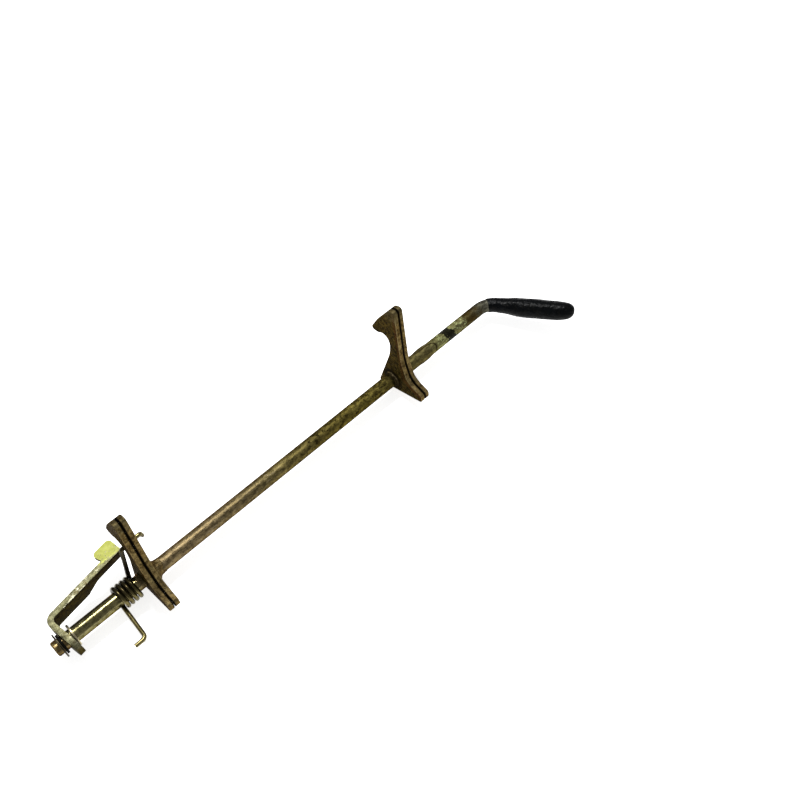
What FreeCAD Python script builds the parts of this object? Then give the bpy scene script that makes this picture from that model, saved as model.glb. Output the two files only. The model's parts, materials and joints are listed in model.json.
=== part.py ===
"""Twin-hook latch lever shaft: a bent steel rod with two double-plate hooks, a
torsion spring, a loose crank arm with a tab, and a dipped vinyl grip.

The rod's axis is the X axis while the pieces are made. X = 0 is the left face of
the left hook, +X runs towards the grip, and +Z is up as the part lies on a table.
The finished pieces are then moved so that the origin is the centre of the
bounding box's bottom face. Sizes are in millimetres, angles in degrees.
"""
import FreeCAD, Part
import math
import os

Vec = FreeCAD.Vector

# ---- driving dimensions: rod -------------------------------------------------
ROD_DIAMETER = 8.0
ROD_END_LENGTH = 50.0       # from the left hook's left face to the rod's free end
ROD_END_CHAMFER = 0.6
BEND_BEYOND_HOOK = 72.5     # right hook's left face to the start of the lever's bend
BEND_RADIUS = 11.0
LEVER_TURN = 58.0           # lever's heading away from the rod, seen from above
LEVER_RISE = 8.0            # lever's climb above the horizontal
LEVER_LENGTH = 42.0         # straight rod after the bend
LEVER_DRAW = 0.3            # the rod is drawn this much thinner past the swelling
SWELL_BEYOND_HOOK = 19.0    # right hook's left face to the swaged swelling
SWELL_LENGTH = 11.0
SWELL_EXTRA = 0.35          # how far the swelling stands proud of the rod

# ---- driving dimensions: hooks -----------------------------------------------
PLATE_THICKNESS = 2.95
PLATE_GAP = 0.4
PLATE_EDGE_ROUND = 0.5
HOOK_SPACING = 173.5        # left face of one hook to left face of the other
WELD_LENGTH = 5.6
WELD_LEG = 3.2              # how far up the plate the weld reaches from the rod
SMALL_WELD_LENGTH = 1.6
SMALL_WELD_LEG = 1.4
WELD_TOE = 0.15             # how proud the weld's thin edge stands of the rod

# The hook's outline, seen along the rod: across, up, corner radius.
HOOK_OUTLINE = [
    (-1.2, 57.4, 2.0),      # top of the back
    (3.6, 55.4, 5.0),       # shoulder
    (11.6, 42.5, 40.0),
    (17.2, 30.9, 1.9),      # beak
    (10.8, 31.6, 3.0),
    (5.2, 35.8, 4.0),       # roof of the throat
    (2.2, 29.0, 6.0),
    (2.3, 21.0, 30.0),
    (11.3, -11.8, 1.6),     # heel
    (-22.9, -1.2, 2.0),     # tail
    (-22.4, 3.6, 2.0),
    (-11.8, 6.6, 9.0),      # hollow of the back
    (-6.4, 20.0, 40.0),
]

# ---- driving dimensions: clip and washers ------------------------------------
CLIP_THICKNESS = 0.8
CLIP_RIM = 2.6              # how far the clip stands out from the rod
CLIP_FROM_END = 2.8         # rod end to the clip's outer face
CLIP_GROOVE_DEPTH = 0.7
CLIP_SLOT_PLAY = 0.1        # each side, mouth of the clip to the groove
CLIP_HEADING = 235.0        # which way the clip's mouth points round the rod
NYLON_THICKNESS = 1.2
NYLON_RIM = 1.3             # how far the washer stands out from the rod
THRUST_THICKNESS = 1.0
THRUST_RIM = 2.0
RUNNING_CLEARANCE = 0.06    # radial, rod to every piece that turns or slides on it
SIDE_CLEARANCE = 0.15       # along the rod, between loose neighbours

# ---- driving dimensions: crank arm -------------------------------------------
ARM_THICKNESS = 3.0
ARM_WIDTH = 13.0
ARM_TIP_WIDTH = 7.7
ARM_BEND_RADIUS = 5.0       # outside of the bend
ARM_REACH = 13.2            # rod axis to the long leg's outer face at the bend
ARM_TAIL = 3.4              # rod axis to the centre of the short leg's round end
ARM_LEG_LENGTH = 47.7       # long leg, from the short leg's outer face
ARM_TAPER_START = 23.5
ARM_TAPER_LENGTH = 7.0
ARM_LEAN = 9.0              # the loose arm leans on the rod by this much
ARM_HEADING = 8.0           # long leg's direction from the rod, above horizontal
TAB_LENGTH = 10.5
TAB_HEIGHT = 5.5
TAB_THICKNESS = 2.6
TAB_CORNER = 2.2

# ---- driving dimensions: torsion spring --------------------------------------
WIRE_DIAMETER = 2.3
COIL_PLAY = 0.45            # rod to the inside of the coil
COIL_PITCH = 2.45
COIL_FULL_TURNS = 4
COIL_START = -14.1          # wire centre where the coil begins
COIL_FIRST_ANGLE = -94.0    # round the rod from +Y, where the anchor leg joins
COIL_LAST_ANGLE = 0.0       # where the latch leg leaves, full turns later
SPRING_BEND_RADIUS = 2.6    # wire centre line, in every bend of the legs
LATCH_LEG_RISE = 26.0       # coil to the cross bar over the throat
LATCH_LEG_FOOT = 3.0        # straight off the coil before the leg leans
LATCH_LEG_SHIFT = 1.2       # the leg leans this much further towards the hook
LATCH_BAR_OVERHANG = 4.3    # cross bar beyond the right-hand plate
LATCH_TIP_DROP = 3.6
ANCHOR_LEG_LENGTH = 23.0
ANCHOR_TIP_LENGTH = 6.2
ANCHOR_JOINT_GAP = 0.05     # coil's cut face to the anchor leg's cut face

# ---- driving dimensions: grip ------------------------------------------------
GRIP_BEND_SHARE = 0.45      # share of the bend that the grip's mouth covers
GRIP_LENGTH = 47.6          # from the end of the bend to the tip
GRIP_MOUTH_WALL = 0.8
GRIP_NECK_WALL = 1.1
GRIP_NECK_AT = 7.0          # along the lever, from the end of the bend
GRIP_WALL = 2.15
GRIP_FULL_AT = 24.0
GRIP_SHOULDER_AT = 38.0
GRIP_SAG = 0.8              # the dipped vinyl hangs this much below the lever

# ---- sizes that follow from the ones above -----------------------------------
ROD_RADIUS = ROD_DIAMETER / 2
LEVER_DIAMETER = ROD_DIAMETER - LEVER_DRAW
LEVER_RADIUS = LEVER_DIAMETER / 2
BEND_START = HOOK_SPACING + BEND_BEYOND_HOOK
SWELL_START = HOOK_SPACING + SWELL_BEYOND_HOOK
HOOK_WIDTH = 2 * PLATE_THICKNESS + PLATE_GAP
WELD_RADIUS = ROD_RADIUS + WELD_LEG
SMALL_WELD_RADIUS = ROD_RADIUS + SMALL_WELD_LEG
CLIP_RADIUS = ROD_RADIUS + CLIP_RIM
CLIP_GROOVE_DIAMETER = ROD_DIAMETER - 2 * CLIP_GROOVE_DEPTH
CLIP_SLOT_WIDTH = CLIP_GROOVE_DIAMETER + 2 * CLIP_SLOT_PLAY
NYLON_RADIUS = ROD_RADIUS + NYLON_RIM
THRUST_RADIUS = ROD_RADIUS + THRUST_RIM
WIRE_RADIUS = WIRE_DIAMETER / 2
COIL_MEAN_RADIUS = ROD_RADIUS + COIL_PLAY + WIRE_RADIUS
X_AXIS = Vec(1, 0, 0)


# ---- helpers -----------------------------------------------------------------
def around(radius, angle, x=0.0):
    """The point at this radius and angle round the rod, counted from +Y to +Z."""
    turn = math.radians(angle)
    return Vec(x, radius * math.cos(turn), radius * math.sin(turn))


def ring(x, length, outer, inner):
    """A plain ring on the rod, from x to x + length."""
    body = Part.makeCylinder(outer, length, Vec(x, 0, 0), X_AXIS)
    return body.cut(Part.makeCylinder(inner, length + 2, Vec(x - 1, 0, 0), X_AXIS))


def rounded_wire(corners):
    """A closed wire through (point, radius) corners, with each corner rounded."""
    edges = []
    trims = []
    count = len(corners)
    for index in range(count):
        point, radius = corners[index]
        to_last = (corners[index - 1][0] - point).normalize()
        to_next = (corners[(index + 1) % count][0] - point).normalize()
        half_angle = to_last.getAngle(to_next) / 2
        setback = radius / math.tan(half_angle)
        start = point + to_last * setback
        end = point + to_next * setback
        inward = (to_last + to_next).normalize()
        middle = point + inward * (radius / math.sin(half_angle) - radius)
        trims.append((start, middle, end))
    for index in range(count):
        start, middle, end = trims[index]
        edges.append(Part.Arc(start, middle, end).toShape())
        following = trims[(index + 1) % count][0]
        if (following - end).Length > 1e-4:
            edges.append(Part.LineSegment(end, following).toShape())
    return Part.Wire(edges)


def bent_path(points, radius):
    """An open wire through the points, with each inner corner bent to radius."""
    edges = []
    last = points[0]
    for index in range(1, len(points) - 1):
        point = points[index]
        to_last = (points[index - 1] - point).normalize()
        to_next = (points[index + 1] - point).normalize()
        half_angle = to_last.getAngle(to_next) / 2
        setback = radius / math.tan(half_angle)
        inward = (to_last + to_next).normalize()
        start = point + to_last * setback
        middle = point + inward * (radius / math.sin(half_angle) - radius)
        end = point + to_next * setback
        edges.append(Part.LineSegment(last, start).toShape())
        edges.append(Part.Arc(start, middle, end).toShape())
        last = end
    edges.append(Part.LineSegment(last, points[-1]).toShape())
    return Part.Wire(edges)


def wire_sweep(path, radius):
    """Round wire of this radius along an open path."""
    first = path.Edges[0]
    start = first.valueAt(first.FirstParameter)
    heading = first.tangentAt(first.FirstParameter)
    section = Part.Wire(Part.makeCircle(radius, start, heading))
    return path.makePipeShell([section], True, True)


def turned(profile):
    """Solid of revolution about the rod, from (x, radius) points of a closed profile."""
    points = [Vec(x, radius, 0) for x, radius in profile]
    face = Part.Face(Part.makePolygon(points + points[:1]))
    return face.revolve(Vec(0, 0, 0), X_AXIS, 360)


# ---- rod ---------------------------------------------------------------------
def lever_frame():
    """End of the bend, the lever's heading, and the bend's centre and axis."""
    turn = math.radians(LEVER_TURN)
    rise = math.radians(LEVER_RISE)
    heading = Vec(math.cos(rise) * math.cos(turn), -math.cos(rise) * math.sin(turn), math.sin(rise))
    inward = (heading - X_AXIS * heading.dot(X_AXIS)).normalize()
    centre = Vec(BEND_START, 0, 0) + inward * BEND_RADIUS
    axis = X_AXIS.cross(heading).normalize()
    bend_angle = X_AXIS.getAngle(heading)
    start = Vec(BEND_START, 0, 0)
    spin = FreeCAD.Rotation(axis, math.degrees(bend_angle))
    end = centre + spin.multVec(start - centre)
    return end, heading, centre, axis, math.degrees(bend_angle)


def main_shaft():
    end, heading, centre, axis, bend_angle = lever_frame()
    middle = SWELL_START + SWELL_LENGTH / 2
    straight = Part.makeCylinder(
        ROD_RADIUS, middle + ROD_END_LENGTH, Vec(-ROD_END_LENGTH, 0, 0), X_AXIS)
    tip = [edge for edge in straight.Edges if abs(edge.CenterOfMass.x + ROD_END_LENGTH) < 1e-6]
    straight = straight.makeChamfer(ROD_END_CHAMFER, tip)
    beyond = Part.makeCylinder(LEVER_RADIUS, BEND_START - middle, Vec(middle, 0, 0), X_AXIS)
    section = Part.Face(Part.Wire(Part.makeCircle(LEVER_RADIUS, Vec(BEND_START, 0, 0), X_AXIS)))
    bend = section.revolve(centre, axis, bend_angle)
    lever = Part.makeCylinder(LEVER_RADIUS, LEVER_LENGTH, end, heading)
    rod = straight.fuse([beyond, bend, lever, swelling()]).removeSplitter()
    groove = ring(clip_x(), CLIP_THICKNESS, ROD_RADIUS + 1, CLIP_GROOVE_DIAMETER / 2)
    return rod.cut(groove)


def swelling():
    """The rod is squeezed a little fatter here, with ends that fade into the rod."""
    start = Vec(SWELL_START, ROD_RADIUS, 0)
    middle = Vec(SWELL_START + SWELL_LENGTH / 2, ROD_RADIUS + SWELL_EXTRA, 0)
    end = Vec(SWELL_START + SWELL_LENGTH, LEVER_RADIUS, 0)
    edges = [
        Part.Arc(start, middle, end).toShape(),
        Part.LineSegment(end, Vec(end.x, 0, 0)).toShape(),
        Part.LineSegment(Vec(end.x, 0, 0), Vec(start.x, 0, 0)).toShape(),
        Part.LineSegment(Vec(start.x, 0, 0), start).toShape(),
    ]
    return Part.Face(Part.Wire(edges)).revolve(Vec(0, 0, 0), X_AXIS, 360)


# ---- hooks -------------------------------------------------------------------
def hook_plate(x):
    """One stamped plate, with its left face at x and its outline's edges rounded."""
    corners = [(Vec(x, across, up), radius) for across, up, radius in HOOK_OUTLINE]
    plate = Part.Face(rounded_wire(corners)).extrude(Vec(PLATE_THICKNESS, 0, 0))
    rims = [edge for edge in plate.Edges if edge.BoundBox.XLength < 1e-6]
    plate = plate.makeFillet(PLATE_EDGE_ROUND, rims)
    return plate.cut(Part.makeCylinder(ROD_RADIUS, PLATE_THICKNESS + 2, Vec(x - 1, 0, 0), X_AXIS))


def weld_bead(x, length, radius):
    """Fillet weld round the rod against a plate; a negative length runs towards -X."""
    sag = 0.38              # share of the triangle's sides where the hollow bead passes
    profile = [
        (x, ROD_RADIUS),
        (x, radius),
        (x + length * sag, ROD_RADIUS + (radius - ROD_RADIUS) * sag),
        (x + length, ROD_RADIUS + WELD_TOE),
        (x + length, ROD_RADIUS),
    ]
    return turned(profile)


# ---- clip, washers and crank arm ---------------------------------------------
def clip_x():
    return -ROD_END_LENGTH + CLIP_FROM_END


def retaining_clip():
    """An E-clip: a flat open ring whose three teeth sit in the rod's groove."""
    x = clip_x()
    tooth_root = ROD_RADIUS + 0.4
    clip = ring(x, CLIP_THICKNESS, CLIP_RADIUS, CLIP_GROOVE_DIAMETER / 2)
    mouth = Part.makeBox(CLIP_THICKNESS + 2, CLIP_RADIUS + 2, CLIP_SLOT_WIDTH)
    mouth.translate(Vec(x - 1, 0, -CLIP_SLOT_WIDTH / 2))
    for side in (-1, 1):
        relief = Part.makeCylinder(tooth_root - ROD_RADIUS + 0.9, CLIP_THICKNESS + 2, Vec(x - 1, 0, 0), X_AXIS)
        relief.translate(around(CLIP_GROOVE_DIAMETER / 2 + 0.5, 180 + side * 42))
        clip = clip.cut(relief)
    clip = clip.cut(mouth)
    clip.rotate(Vec(0, 0, 0), X_AXIS, CLIP_HEADING)
    return clip


def nylon_x():
    return clip_x() + CLIP_THICKNESS + SIDE_CLEARANCE


def arm_x():
    """Where the leaning short leg's middle crosses the rod's axis."""
    lean = math.radians(ARM_LEAN)
    half = ARM_THICKNESS / 2 / math.cos(lean)
    return nylon_x() + NYLON_THICKNESS + SIDE_CLEARANCE + half + NYLON_RADIUS * math.tan(lean)


def thrust_x():
    lean = math.radians(ARM_LEAN)
    half = ARM_THICKNESS / 2 / math.cos(lean)
    return arm_x() + half + THRUST_RADIUS * math.tan(lean) + SIDE_CLEARANCE


def washer(x, thickness, radius):
    return ring(x, thickness, radius, ROD_RADIUS + RUNNING_CLEARANCE)


def crank_arm():
    """A bent strip: a short leg on the rod and a long leg beside it, with a tab.

    It is made upright: X along the rod, Y out from the rod and Z across the strip.
    """
    half = ARM_THICKNESS / 2
    inner = ARM_REACH - ARM_THICKNESS
    leg_end = ARM_LEG_LENGTH - half
    tail = -ARM_TAIL - ARM_WIDTH / 2
    inside_bend = ARM_BEND_RADIUS - ARM_THICKNESS
    side_view = rounded_wire([
        (Vec(-half, tail, 0), 0.01),
        (Vec(half, tail, 0), 0.01),
        (Vec(half, inner, 0), inside_bend),
        (Vec(leg_end, inner, 0), 0.01),
        (Vec(leg_end, ARM_REACH, 0), 0.01),
        (Vec(-half, ARM_REACH, 0), ARM_BEND_RADIUS),
    ])
    strip = Part.Face(side_view).extrude(Vec(0, 0, ARM_WIDTH))
    strip.translate(Vec(0, 0, -ARM_WIDTH / 2))
    strip = strip.common(short_leg_outline())
    strip = strip.common(long_leg_outline(leg_end))
    arm = strip.fuse(tab(leg_end)).removeSplitter()
    arm.rotate(Vec(0, 0, 0), Vec(0, 0, 1), ARM_LEAN)
    bore = ROD_RADIUS + RUNNING_CLEARANCE
    arm = arm.cut(Part.makeCylinder(bore, 20, Vec(-10, 0, 0), X_AXIS))
    arm.rotate(Vec(0, 0, 0), X_AXIS, ARM_HEADING)
    arm.translate(Vec(arm_x(), 0, 0))
    return arm


def short_leg_outline():
    """Along the rod the strip has a round end; this block trims it to that."""
    width = ARM_WIDTH / 2
    reach = ARM_REACH + 20
    straight = Part.makeBox(200, ARM_TAIL + reach, ARM_WIDTH, Vec(-50, -ARM_TAIL, -width))
    round_end = Part.makeCylinder(width, 200, Vec(-50, -ARM_TAIL, 0), X_AXIS)
    return straight.fuse(round_end)


def long_leg_outline(leg_end):
    """From outside, the long leg narrows on its lower edge before the tab."""
    width = ARM_WIDTH / 2
    taper = ARM_TAPER_START - ARM_THICKNESS / 2
    lower_tip = width - ARM_TIP_WIDTH
    outline = rounded_wire([
        (Vec(-50, -100, -width - 1), 0.01),
        (Vec(taper, -100, -width - 1), 0.01),
        (Vec(taper, -100, -width), 3.0),
        (Vec(taper + ARM_TAPER_LENGTH, -100, lower_tip), 6.0),
        (Vec(leg_end, -100, lower_tip), 1.5),
        (Vec(leg_end, -100, width + 1), 0.01),
        (Vec(-50, -100, width + 1), 0.01),
    ])
    return Part.Face(outline).extrude(Vec(0, 200, 0))


def tab(leg_end):
    """The flange turned outwards from the long leg's upper edge, flush with it."""
    top = ARM_WIDTH / 2
    outer = ARM_REACH + TAB_HEIGHT
    start = leg_end - TAB_LENGTH
    outline = rounded_wire([
        (Vec(start + 0.8, ARM_REACH - ARM_THICKNESS / 2, 0), 0.01),
        (Vec(leg_end, ARM_REACH - ARM_THICKNESS / 2, 0), 0.01),
        (Vec(leg_end, outer, 0), TAB_CORNER),
        (Vec(start - 1.2, outer, 0), TAB_CORNER),
    ])
    flange = Part.Face(outline).extrude(Vec(0, 0, TAB_THICKNESS))
    flange.translate(Vec(0, 0, top - TAB_THICKNESS))
    return flange


# ---- torsion spring ----------------------------------------------------------
def coil_end_x():
    sweep = COIL_FULL_TURNS * 360 + COIL_LAST_ANGLE - COIL_FIRST_ANGLE
    return COIL_START + COIL_PITCH * sweep / 360


def coil_tangent(angle):
    """Unit heading of the coil's wire, at this angle round the rod, towards +X."""
    turn = math.radians(angle)
    climb = COIL_PITCH / (2 * math.pi)
    heading = Vec(climb, -COIL_MEAN_RADIUS * math.sin(turn), COIL_MEAN_RADIUS * math.cos(turn))
    return heading.normalize()


def coil():
    height = coil_end_x() - COIL_START
    helix = Part.makeHelix(COIL_PITCH, height, COIL_MEAN_RADIUS)
    lie_down = FreeCAD.Rotation(Vec(1, 1, 1), 120)
    helix.Placement = FreeCAD.Placement(Vec(COIL_START, 0, 0), lie_down)
    helix.rotate(Vec(0, 0, 0), X_AXIS, COIL_FIRST_ANGLE)
    start = around(COIL_MEAN_RADIUS, COIL_FIRST_ANGLE, COIL_START)
    heading = coil_tangent(COIL_FIRST_ANGLE)
    section = Part.Wire(Part.makeCircle(WIRE_RADIUS, start, heading))
    return Part.Wire(helix.Edges).makePipeShell([section], True, True)


def torsion_spring():
    """The coil, and the leg that climbs behind the hook and bars its throat."""
    start = around(COIL_MEAN_RADIUS, COIL_LAST_ANGLE, coil_end_x())
    foot = start + coil_tangent(COIL_LAST_ANGLE) * LATCH_LEG_FOOT
    knee = start + coil_tangent(COIL_LAST_ANGLE) * LATCH_LEG_RISE + X_AXIS * LATCH_LEG_SHIFT
    bar_end = Vec(HOOK_WIDTH + LATCH_BAR_OVERHANG, knee.y + 0.6, knee.z + 0.4)
    tip = bar_end + Vec(0.8, 0.6, -LATCH_TIP_DROP)
    path = bent_path([start, foot, knee, bar_end, tip], SPRING_BEND_RADIUS / 2)
    leg = wire_sweep(path, WIRE_RADIUS)
    return coil().fuse(leg)


def spring_anchor_leg():
    """The spring's other leg: out under the rod, then a tip that points back."""
    away = coil_tangent(COIL_FIRST_ANGLE) * -1
    start = around(COIL_MEAN_RADIUS, COIL_FIRST_ANGLE, COIL_START) + away * ANCHOR_JOINT_GAP
    corner = start + away * ANCHOR_LEG_LENGTH
    tip = corner - X_AXIS * ANCHOR_TIP_LENGTH
    return wire_sweep(bent_path([start, corner, tip], SPRING_BEND_RADIUS), WIRE_RADIUS)


# ---- grip --------------------------------------------------------------------
def vinyl_grip():
    """A dipped sleeve: a thin mouth on the bend, then a fat body with a round end."""
    end, heading, centre, axis, bend_angle = lever_frame()
    down = (Vec(0, 0, -1) + heading * heading.z).normalize()
    mouth_radius = LEVER_RADIUS + GRIP_MOUTH_WALL
    full_radius = LEVER_RADIUS + GRIP_WALL
    stations = [                # along the lever, radius, how far it sags
        (0.0, mouth_radius, 0.0),
        (GRIP_NECK_AT, LEVER_RADIUS + GRIP_NECK_WALL, GRIP_SAG * 0.2),
        (GRIP_FULL_AT * 0.6, full_radius * 0.96, GRIP_SAG * 0.8),
        (GRIP_FULL_AT, full_radius, GRIP_SAG),
        (GRIP_SHOULDER_AT, full_radius * 0.98, GRIP_SAG),
        (GRIP_LENGTH - 4.0, full_radius * 0.86, GRIP_SAG * 0.7),
        (GRIP_LENGTH - 1.2, full_radius * 0.6, GRIP_SAG * 0.3),
        (GRIP_LENGTH, full_radius * 0.25, 0.0),
    ]
    rings = []
    for along, radius, sag in stations:
        middle = end + heading * along + down * sag
        rings.append(Part.Wire(Part.makeCircle(radius, middle, heading)))
    body = Part.makeLoft(rings, True, False)
    covered = bend_angle * GRIP_BEND_SHARE
    mouth = Part.Face(Part.Wire(Part.makeCircle(mouth_radius, end, heading)))
    mouth = mouth.revolve(centre, axis, -covered)
    core = Part.makeCylinder(LEVER_RADIUS, LEVER_LENGTH, end, heading)
    bend_core = Part.Face(Part.Wire(Part.makeCircle(LEVER_RADIUS, end, heading)))
    bend_core = bend_core.revolve(centre, axis, -covered)
    return body.fuse(mouth).cut(core.fuse(bend_core))


# ---- assembly ----------------------------------------------------------------
def hooks():
    """Both hooks' plates, named from the clip's end of the rod."""
    step = PLATE_THICKNESS + PLATE_GAP
    plates = {}
    for side, x in (("left", 0.0), ("right", HOOK_SPACING)):
        plates[side + "_hook_first_plate"] = hook_plate(x)
        plates[side + "_hook_second_plate"] = hook_plate(x + step)
    return plates


def assembly():
    nodes = {"main_shaft": main_shaft()}
    nodes.update(hooks())
    nodes["left_hook_weld"] = weld_bead(HOOK_WIDTH, WELD_LENGTH, WELD_RADIUS)
    nodes["right_hook_weld"] = weld_bead(HOOK_SPACING, -SMALL_WELD_LENGTH, SMALL_WELD_RADIUS)
    nodes["vinyl_grip"] = vinyl_grip()
    nodes["retaining_clip"] = retaining_clip()
    nodes["nylon_washer"] = washer(nylon_x(), NYLON_THICKNESS, NYLON_RADIUS)
    nodes["thrust_washer"] = washer(thrust_x(), THRUST_THICKNESS, THRUST_RADIUS)
    nodes["crank_arm"] = crank_arm()
    nodes["torsion_spring"] = torsion_spring()
    nodes["spring_anchor_leg"] = spring_anchor_leg()
    return nodes


def stand_on_origin(nodes):
    """Move every piece so that the box's bottom centre is the origin."""
    box = Part.makeCompound(list(nodes.values())).optimalBoundingBox(False)
    shift = Vec(-(box.XMin + box.XMax) / 2, -(box.YMin + box.YMax) / 2, -box.ZMin)
    for shape in nodes.values():
        shape.translate(shift)
    return shift, box


def main():
    os.makedirs("parts", exist_ok=True)
    nodes = assembly()
    shift, box = stand_on_origin(nodes)
    print("shift", [round(value, 4) for value in shift])
    print("size", round(box.XLength, 2), round(box.YLength, 2), round(box.ZLength, 2))
    print("arm_x", round(arm_x(), 3), "clip_x", round(clip_x(), 3), "thrust_x", round(thrust_x(), 3))
    for name, shape in nodes.items():
        solids = shape.Solids
        print(name, shape.ShapeType, len(solids), shape.isValid(), round(shape.Volume, 1))
        if len(solids) == 1:
            shape = solids[0]
        shape.exportStep(os.path.join("parts", name + ".step"))


main()
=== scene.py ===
# %% [markdown]
# # A twin-hook latch lever shaft
# A bent steel rod carries two hooks, each made of two stamped plates. At the
# short end sit a torsion spring, a crank arm that is loose on the rod, two
# washers and a clip; at the long end the rod bends into a lever with a dipped
# vinyl grip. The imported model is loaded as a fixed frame, and looks go on it.

# %% Load the frame
import json
import math

import bpy
from mathutils import Matrix, Vector


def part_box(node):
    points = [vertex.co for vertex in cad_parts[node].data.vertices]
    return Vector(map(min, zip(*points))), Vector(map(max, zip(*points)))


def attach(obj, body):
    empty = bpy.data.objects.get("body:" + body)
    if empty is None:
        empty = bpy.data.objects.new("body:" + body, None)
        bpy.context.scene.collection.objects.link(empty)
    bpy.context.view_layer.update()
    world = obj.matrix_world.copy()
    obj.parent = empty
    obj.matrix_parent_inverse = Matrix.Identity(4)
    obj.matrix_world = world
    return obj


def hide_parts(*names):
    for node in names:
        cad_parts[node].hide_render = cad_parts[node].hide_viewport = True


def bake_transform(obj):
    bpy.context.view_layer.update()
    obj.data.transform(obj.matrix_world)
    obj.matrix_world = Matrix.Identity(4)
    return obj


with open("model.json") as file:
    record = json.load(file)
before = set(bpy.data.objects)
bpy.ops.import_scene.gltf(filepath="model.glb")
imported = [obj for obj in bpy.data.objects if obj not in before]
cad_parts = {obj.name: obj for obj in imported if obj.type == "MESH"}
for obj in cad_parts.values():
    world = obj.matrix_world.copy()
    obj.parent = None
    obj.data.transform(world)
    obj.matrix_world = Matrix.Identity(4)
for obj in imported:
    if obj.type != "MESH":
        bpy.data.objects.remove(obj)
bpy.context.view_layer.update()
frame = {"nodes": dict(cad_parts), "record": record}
nodes = frame["nodes"]

# %% [markdown]
# Everything on this part is placed along the rod, so the work is easier in the
# rod's own measure: millimetres, x = 0 at the left hook's left face, with the
# rod's axis at y = z = 0. The left hook's box gives x, and the arm's hinge gives
# the axis. `at` turns such a point into the scene's metres.

# %% The rod's own measure
MM = 0.001
arm_pivot = next(joint for joint in frame["record"]["behaviour"]["joints"] if joint["name"] == "arm_pivot")
LEFT_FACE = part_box("left_hook_first_plate")[0][0]
AXIS = Vector((LEFT_FACE, arm_pivot["pos_m"][1], arm_pivot["pos_m"][2]))
HOOK_SPACING = (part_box("right_hook_first_plate")[0][0] - LEFT_FACE) / MM
HOOK_WIDTH = (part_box("left_hook_second_plate")[1][0] - LEFT_FACE) / MM


def at(x, y, z):
    return AXIS + Vector((x, y, z)) * MM


print("axis", [round(value, 5) for value in AXIS], "hooks", round(HOOK_SPACING, 2), round(HOOK_WIDTH, 2))

# %% [markdown]
# ## Finishes
# A material is a recipe of small steps: noise, a colour ramp, a blend. The class
# below keeps those steps short to write. Every pattern starts from Object
# coordinates, turned into the rod's own millimetres by one Mapping node, so a
# stain named for x = 218 sits at x = 218 on whichever piece passes there.

# %% A recipe for finishes
def linear(rgb):
    """A colour as a painter's 0 to 255 values, made linear for the shader."""
    shares = [value / 255 for value in rgb]
    return tuple(share / 12.92 if share < 10 / 255 else ((share + 0.055) / 1.055) ** 2.4 for share in shares)


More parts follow.
